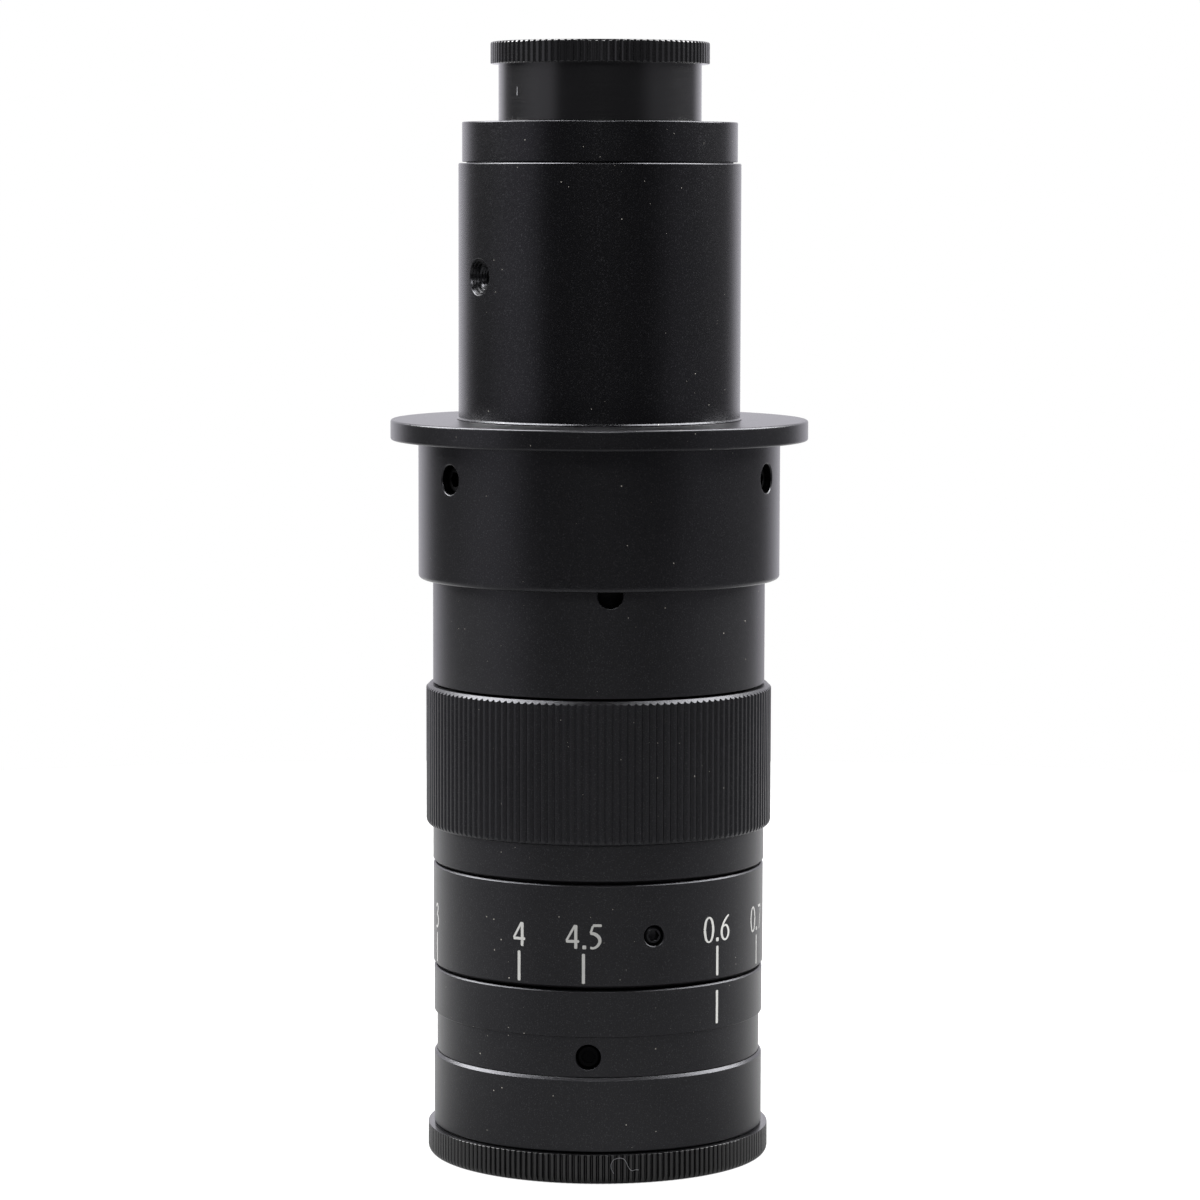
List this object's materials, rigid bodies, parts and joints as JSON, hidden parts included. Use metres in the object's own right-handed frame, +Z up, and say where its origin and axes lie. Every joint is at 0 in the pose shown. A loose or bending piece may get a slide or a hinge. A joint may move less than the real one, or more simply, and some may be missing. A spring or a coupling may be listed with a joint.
{
  "type": "zoom microscope lens",
  "caption": "Upright zoom lens for a microscope camera: knurled zoom ring over a cam tube, flanged stand collar, reducing camera adapter and screw-on dust caps.",
  "frame": {"origin": "on the optical axis, at the foot of the front dust cap that the lens stands on", "axes": "+Z up the optical axis from the objective to the camera; the index line and the engraved scale face -Y, turned 45 degrees towards +X"},
  "size_m": [0.0578, 0.0576, 0.154],
  "materials": {
    "anodised_black": "fine matte black anodised",
    "inner_black": "dull black anodised",
    "cap_black": "moulded, satin",
    "blackened_steel": "black oxide",
    "brass": "turned",
    "optical_glass": "polished and coated"
  },
  "bodies": {
    "lens_body": {"objective_barrel": "anodised_black", "objective_cell": "inner_black", "objective_crown": "optical_glass", "objective_flint": "optical_glass", "objective_retainer": "inner_black", "guide_tube": "inner_black", "stop_pin": "brass", "index_ring": "anodised_black", "index_clamp_screws": "blackened_steel", "body_tube": "anodised_black", "rear_cell": "inner_black", "rear_crown": "optical_glass", "rear_flint": "optical_glass", "rear_retainer": "inner_black", "mounting_collar": "anodised_black", "collar_clamp_screws": "blackened_steel", "adapter_tube": "anodised_black", "adapter_clamp_screw": "blackened_steel", "reducer_mount": "anodised_black", "reducer_crown": "optical_glass", "reducer_flint": "optical_glass", "reducer_retainer": "inner_black"},
    "zoom_ring": {"cam_tube": "inner_black", "zoom_grip": "anodised_black", "cam_drive_screws": "blackened_steel", "scale_ring": "anodised_black", "scale_clamp_screws": "blackened_steel"},
    "compensator": {"compensator_cell": "inner_black", "compensator_crown": "optical_glass", "compensator_flint": "optical_glass", "compensator_retainer": "inner_black", "compensator_follower": "brass"},
    "variator": {"variator_cell": "inner_black", "variator_flint": "optical_glass", "variator_crown": "optical_glass", "variator_retainer": "inner_black", "variator_follower": "brass"},
    "front_cap": {"front_cap": "cap_black"},
    "camera_cap": {"camera_cap": "cap_black"}
  },
  "joints": [
    {"name": "zoom_turn", "type": "hinge", "parent": "lens_body", "child": "zoom_ring", "pos_m": [0, 0, 0.0337], "axis": [0, 0, 1], "range_deg": [-310, 0]},
    {"name": "variator_slide", "type": "slide", "parent": "lens_body", "child": "variator", "axis": [0, 0, 1], "range_m": [0, 0.024]},
    {"name": "compensator_slide", "type": "slide", "parent": "lens_body", "child": "compensator", "axis": [0, 0, 1], "range_m": [0, 0.008]},
    {"name": "camera_cap_lift", "type": "slide", "parent": "lens_body", "child": "camera_cap", "axis": [0, 0, 1], "range_m": [0, 0.012]},
    {"name": "lens_lift", "type": "slide", "parent": "front_cap", "child": "lens_body", "axis": [0, 0, 1], "range_m": [0, 0.01]}
  ],
  "couplings": [
    {"joint": "variator_slide", "follows": "zoom_turn", "m_per_rad": -0.0044358},
    {"joint": "compensator_slide", "follows": "zoom_turn", "m_per_rad": -0.0014786}
  ]
}
